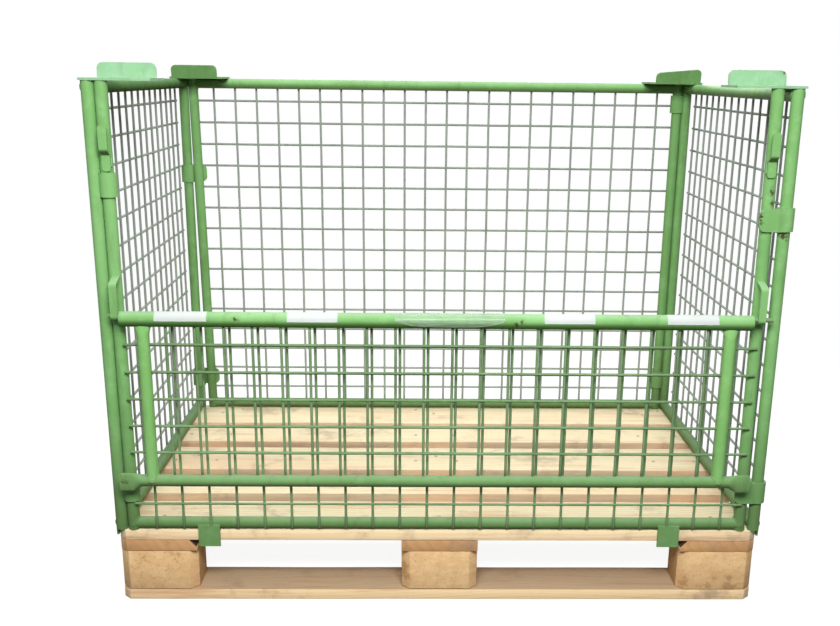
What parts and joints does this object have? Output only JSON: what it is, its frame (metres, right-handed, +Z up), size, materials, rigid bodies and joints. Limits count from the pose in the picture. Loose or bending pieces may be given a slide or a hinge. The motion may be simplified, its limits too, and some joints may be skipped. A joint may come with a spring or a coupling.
{
  "type": "pallet_cage",
  "caption": "Green tube and wire mesh cage on a wooden pallet, with a hanging front flap, catch hooks, linked corner walls and stacking plates.",
  "frame": {"origin": "on the floor under the middle of the pallet, on the underside of the middle bottom board", "axes": "+X along the pallet's length to the right as seen from the front, -Y out of the front with the flap, +Z up"},
  "size_m": [1.2176, 0.8414, 0.9768],
  "materials": {
    "tube_paint": "semi-gloss",
    "strap_paint": "semi-gloss",
    "wire_paint": "semi-gloss",
    "pine_board": "sawn",
    "pine_stringer": "sawn",
    "pine_block": "sawn",
    "nail_steel": "dull",
    "bush_plastic": "matt",
    "label_paper": "blank",
    "clear_film": "clear"
  },
  "bodies": {
    "pallet": {"block_front_left": "pine_block", "block_front_middle": "pine_block", "block_front_right": "pine_block", "block_middle_left": "pine_block", "block_middle_middle": "pine_block", "block_middle_right": "pine_block", "block_rear_left": "pine_block", "block_rear_middle": "pine_block", "block_rear_right": "pine_block", "bottom_board_front": "pine_board", "bottom_board_middle": "pine_board", "bottom_board_rear": "pine_board", "deck_board_centre": "pine_board", "deck_board_front": "pine_board", "deck_board_front_middle": "pine_board", "deck_board_rear": "pine_board", "deck_board_rear_middle": "pine_board", "pallet_nails": "nail_steel", "stringer_left": "pine_stringer", "stringer_middle": "pine_stringer", "stringer_right": "pine_stringer"},
    "cage": {"catch_hook_left": "strap_paint", "catch_hook_right": "strap_paint", "corner_loops": "strap_paint", "corner_straps": "strap_paint", "deck_lugs": "strap_paint", "front_wall_bottom_rail": "tube_paint", "front_wall_mesh": "wire_paint", "front_wall_mid_rail": "tube_paint", "front_wall_post_left": "tube_paint", "front_wall_post_right": "tube_paint", "hinge_staple_left": "strap_paint", "hinge_staple_right": "strap_paint", "left_wall_bottom_rail": "tube_paint", "left_wall_mesh": "wire_paint", "left_wall_post_front": "tube_paint", "left_wall_post_rear": "tube_paint", "left_wall_top_rail": "tube_paint", "rear_wall_bottom_rail": "tube_paint", "rear_wall_mesh": "wire_paint", "rear_wall_post_left": "tube_paint", "rear_wall_post_right": "tube_paint", "rear_wall_top_rail": "tube_paint", "right_wall_bottom_rail": "tube_paint", "right_wall_mesh": "wire_paint", "right_wall_post_front": "tube_paint", "right_wall_post_rear": "tube_paint", "right_wall_top_rail": "tube_paint", "stacking_plate_front_left": "strap_paint", "stacking_plate_front_right": "strap_paint", "stacking_plate_rear_left": "strap_paint", "stacking_plate_rear_right": "strap_paint"},
    "hinge_rod": {"hinge_rod": "strap_paint"},
    "flap": {"flap_free_rail": "tube_paint", "flap_hinge_rail": "tube_paint", "flap_mesh": "wire_paint", "flap_side_tube_left": "tube_paint", "flap_side_tube_right": "tube_paint", "hinge_bushes": "bush_plastic"}
  },
  "joints": [
    {"name": "cage_lift", "type": "slide", "parent": "pallet", "child": "cage", "axis": [0, 0, 1], "range_m": [0, 0.15]},
    {"name": "flap_lift", "type": "slide", "parent": "cage", "child": "hinge_rod", "axis": [0, 0, 1], "range_m": [0, 0.045]},
    {"name": "flap_swing", "type": "hinge", "parent": "hinge_rod", "child": "flap", "pos_m": [0, -0.421, 0.554], "axis": [-1, 0, 0], "range_deg": [0, 180]}
  ]
}
